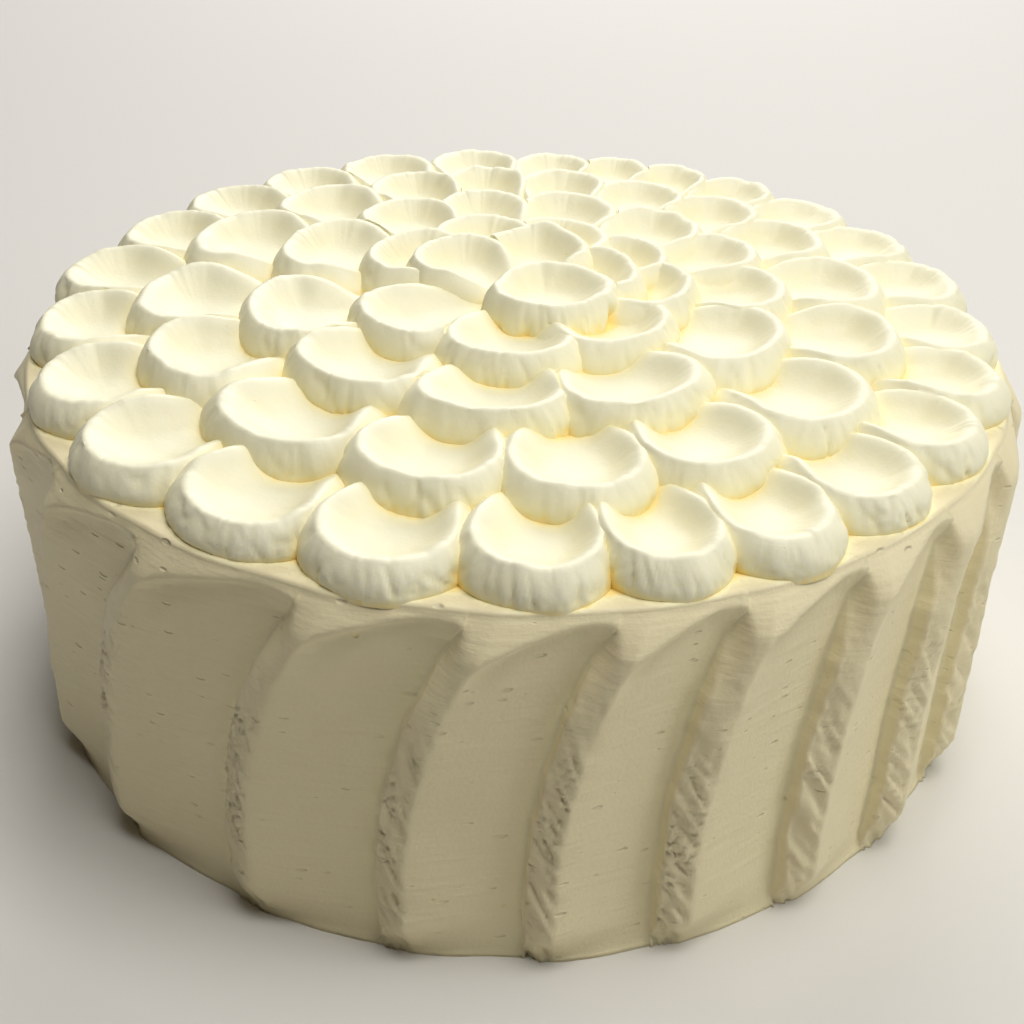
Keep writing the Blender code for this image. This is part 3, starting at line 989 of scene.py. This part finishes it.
def map_place(points):
    """The row and column of the height map under each point."""
    cells = ((points[:, :2] + MAP_HALF) / MAP_CELL).astype(int)
    return tuple(np.clip(cells, 0, MAP_CELLS - 1).T)


def spread_over(field, reach, rule):
    """Take the mean or the most of a field over a square of cells round each one."""
    for axis in (0, 1):
        field = rule([np.roll(field, step, axis=axis) for step in range(-reach, reach + 1)], axis=0)
    return field


heights_seen = np.full((MAP_CELLS, MAP_CELLS), MAP_FLOOR)
for item in dressed.values():
    points = item_points(item)
    np.maximum.at(heights_seen, map_place(points), points[:, 2])
near_heights = spread_over(spread_over(heights_seen, 1, np.max), SHADE_REACH, np.mean)
print("cells of the height map:", heights_seen.size)

# %% [markdown]
# How much painted shade each point gets, from the depth of its crease, is kept on each mesh as a value per
# point.
# A painted image could hold it too, but would need the surface unwrapped first.

# %% Keeping the painted shade of the creases
TOP_SHADE_DEPTH = 0.0046


def top_crease_shade(item):
    """How much painted shade each point of a mesh gets from how deep it lies in a crease of the top."""
    points = item_points(item)
    return np.clip((near_heights[map_place(points)] - points[:, 2]) / TOP_SHADE_DEPTH, 0.0, 1.0)


def keep_painted_shade(item, values):
    """Keep on the mesh, per point, how much painted shade it gets in a crease."""
    layer = item.data.attributes.new("painted_crease_shade", "FLOAT", "POINT")
    layer.data.foreach_set("value", np.asarray(values, np.float32))


for item in dressed.values():
    keep_painted_shade(item, top_crease_shade(item))
on_top = item_points(iced_side)[:, 2] > TOP_HEIGHT - 0.5 * LIP_ROUND
keep_painted_shade(iced_side, np.maximum(side_shade, np.where(on_top, top_crease_shade(iced_side), 0.0)))
print("points in a crease of the side:", int((side_shade > 0.25).sum()))

# %% [markdown]
# Whipped icing isn't quite white. It is cream. Down in a crease it is painted a deeper yellow. This is
# painted shade, for the light that bounces from icing to icing there. A ramp turns the crease value into that
# colour, with a little noise to make it patchy. Subsurface light would give the same glow, but is many times
# slower.

# %% The colours of the icing and of its painted shade
CREAM = (0.93, 0.89, 0.675, 1.0)
# Painted shade: the side is painted a darker, browner cream than the top, as it stands in shade.
SHADED_SIDE_CREAM = (0.85, 0.75, 0.485, 1.0)
# Painted shade: the yellows that a crease is painted, soft at first and deep at the bottom.
SOFT_SHADE_YELLOW = (0.95, 0.88, 0.57, 1.0)
CREASE_SHADE_YELLOW = (0.98, 0.78, 0.30, 1.0)
SOFT_SHADE_AT = 0.55
PATCH_SCALE = 120.0
PATCH_SWING = 0.16


def add_node(material, kind, **values):
    """A new node with its settings and plain input values filled in."""
    node = material.node_tree.nodes.new(kind)
    for name, value in values.items():
        if hasattr(node, name):
            setattr(node, name, value)
        else:
            node.inputs[name.replace("_", " ")].default_value = value
    return node


def cream_with_crease_shade(material, cream, patchy):
    """Cream with painted shade: it turns yellow where the mesh says that a point lies in a crease."""
    links = material.node_tree.links
    painted_crease_shade = add_node(material, "ShaderNodeAttribute", attribute_name="painted_crease_shade")
    depth = add_node(material, "ShaderNodeMath", operation="MULTIPLY_ADD")
    links.new(patchy, depth.inputs[0])
    depth.inputs[1].default_value = PATCH_SWING
    depth.inputs[2].default_value = -0.5 * PATCH_SWING
    shade_amount = add_node(material, "ShaderNodeMath", operation="ADD", use_clamp=True)
    links.new(painted_crease_shade.outputs["Fac"], shade_amount.inputs[0])
    links.new(depth.outputs[0], shade_amount.inputs[1])
    crease_shade_ramp = add_node(material, "ShaderNodeValToRGB")
    ramp = crease_shade_ramp.color_ramp
    ramp.elements[0].color = cream
    ramp.elements[1].color = CREASE_SHADE_YELLOW
    ramp.elements.new(SOFT_SHADE_AT).color = SOFT_SHADE_YELLOW
    links.new(shade_amount.outputs[0], crease_shade_ramp.inputs["Fac"])
    return crease_shade_ramp.outputs["Color"]


print("the cream and the crease differ most in blue:", CREAM[2], CREASE_SHADE_YELLOW[2])

# %% [markdown]
# Air whipped into the icing leaves small burst bubbles, and the knife leaves little tears, both too small
# to be worth points in a mesh. A Voronoi texture scatters cells, and each cell's random colour decides
# whether it holds a hole and how large. Flat cells turn a bubble into a tear.

# %% Bubbles and tears
# Painted shade: each bubble is painted a deeper yellow, for the shade inside its pit.
BUBBLE_SHADE_YELLOW = (0.90, 0.74, 0.38, 1.0)
BUBBLE_SCALE = (75.0, 75.0, 75.0)
BUBBLE_CHANCE = 0.6
BUBBLE_SIZE = 0.065
TEAR_CHANCE = 0.25


def holes(material, place, scale, chance_from, most):
    """Where small holes lie: 1 inside and 0 outside, in those cells whose random number is high enough."""
    links = material.node_tree.links
    stretched = add_node(material, "ShaderNodeMapping", Scale=scale)
    links.new(place, stretched.inputs["Vector"])
    patches = add_node(material, "ShaderNodeTexVoronoi", Scale=1.0)
    links.new(stretched.outputs["Vector"], patches.inputs["Vector"])
    chance = add_node(material, "ShaderNodeSeparateColor")
    links.new(patches.outputs["Color"], chance.inputs["Color"])
    size = add_node(material, "ShaderNodeMapRange", From_Min=chance_from, To_Max=most)
    links.new(chance.outputs[0], size.inputs["Value"])
    inside = add_node(material, "ShaderNodeMath", operation="SUBTRACT")
    links.new(size.outputs["Result"], inside.inputs[0])
    links.new(patches.outputs["Distance"], inside.inputs[1])
    hole = add_node(material, "ShaderNodeMath", operation="MULTIPLY", use_clamp=True)
    links.new(inside.outputs[0], hole.inputs[0])
    hole.inputs[1].default_value = 2.0 / most
    return hole.outputs[0]


print("bubbles lie in about", round(100 * (1 - BUBBLE_CHANCE)), "cells of 100")

# %% [markdown]
# The icing is a little glossy where it was swept. Its finest marks are a bump: streaks of the knife, which
# are long one way and short the other, a fine grain, and the holes, which go in instead of out.

# %% The icing
GLOSS = 0.35
ROUGHNESS_RANGE = (0.36, 0.55)
GRAIN_SCALE = 1100.0
GRAIN_SHARE = 0.35
TEAR_DEPTH = 2.2
BUMP_DISTANCE = 0.0004
Finish = namedtuple("Finish", "name cream streak_scale streak_bump tear_scale tear_size")


def mixed_in(material, weight, value, base):
    """A value times a weight, added to a base."""
    sum_of_both = add_node(material, "ShaderNodeMath", operation="MULTIPLY_ADD")
    material.node_tree.links.new(value, sum_of_both.inputs[0])
    sum_of_both.inputs[1].default_value = weight
    material.node_tree.links.new(base, sum_of_both.inputs[2])
    return sum_of_both.outputs[0]


def knife_relief(material, place, finish, bubble, tear):
    """The normal of the fine marks: streaks and grain stand out, and bubbles and tears go in."""
    links = material.node_tree.links
    level = add_node(material, "ShaderNodeMapping", Scale=finish.streak_scale)
    links.new(place, level.inputs["Vector"])
    streaks = add_node(material, "ShaderNodeTexNoise", Scale=1.0, Detail=3.0)
    links.new(level.outputs["Vector"], streaks.inputs["Vector"])
    grain = add_node(material, "ShaderNodeTexNoise", Scale=GRAIN_SCALE, Detail=2.0)
    links.new(place, grain.inputs["Vector"])
    holed = add_node(material, "ShaderNodeMath", operation="SUBTRACT")
    links.new(mixed_in(material, GRAIN_SHARE, grain.outputs["Fac"], streaks.outputs["Fac"]), holed.inputs[0])
    links.new(mixed_in(material, TEAR_DEPTH, tear, bubble), holed.inputs[1])
    bump = add_node(material, "ShaderNodeBump", Strength=finish.streak_bump, Distance=BUMP_DISTANCE)
    links.new(holed.outputs[0], bump.inputs["Height"])
    return bump.outputs["Normal"]


def icing_material(finish):
    """Cream icing with knife streaks, burst bubbles and small tears, and painted yellow shade in creases and
    bubbles.
    """
    material = bpy.data.materials.new(finish.name)
    material.use_nodes = True
    links = material.node_tree.links
    shader = material.node_tree.nodes["Principled BSDF"]
    shader.inputs["Specular IOR Level"].default_value = GLOSS
    place = add_node(material, "ShaderNodeTexCoord").outputs["Object"]
    patchy = add_node(material, "ShaderNodeTexNoise", Scale=PATCH_SCALE, Detail=4.0)
    links.new(place, patchy.inputs["Vector"])
    bubble = holes(material, place, BUBBLE_SCALE, BUBBLE_CHANCE, BUBBLE_SIZE)
    tear = holes(material, place, finish.tear_scale, TEAR_CHANCE, finish.tear_size)
    # The base colour: cream, with painted shade in the creases and in the bubbles.
    cream_and_painted_shade = add_node(material, "ShaderNodeMix", data_type="RGBA")
    links.new(cream_with_crease_shade(material, finish.cream, patchy.outputs["Fac"]), cream_and_painted_shade.inputs["A"])
    cream_and_painted_shade.inputs["B"].default_value = BUBBLE_SHADE_YELLOW
    links.new(bubble, cream_and_painted_shade.inputs["Factor"])
    links.new(cream_and_painted_shade.outputs["Result"], shader.inputs["Base Color"])
    rough = add_node(material, "ShaderNodeMapRange", To_Min=ROUGHNESS_RANGE[0], To_Max=ROUGHNESS_RANGE[1])
    links.new(patchy.outputs["Fac"], rough.inputs["Value"])
    links.new(rough.outputs["Result"], shader.inputs["Roughness"])
    links.new(knife_relief(material, place, finish, bubble, tear), shader.inputs["Normal"])
    return material


# The side's icing has its own streaks and tears, and the darker cream that is painted shade.
SIDE_FINISH_AND_SHADE = Finish("shaded_side_icing", SHADED_SIDE_CREAM, (80.0, 80.0, 700.0), 0.6, (170.0, 170.0, 430.0), 0.25)
PETAL_FINISH = Finish("petal_icing", CREAM, (380.0, 380.0, 110.0), 0.30, (260.0, 260.0, 260.0), 0.07)
shaded_side_icing, petal_icing = icing_material(SIDE_FINISH_AND_SHADE), icing_material(PETAL_FINISH)
print("icings:", shaded_side_icing.name, petal_icing.name)

# %% [markdown]
# Each fine surface now stands for its solid. It rides on the one body of the cake, replaces its node and
# takes the icing slot.

# %% Dress the solids
dressed["cake_body"] = iced_side
for node, item in dressed.items():
    item.data.materials.clear()
    item.data.materials.append(shaded_side_icing if item is iced_side else petal_icing)
    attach(item, "root")
    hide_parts(node)
    print(item.name, "stands for", node)
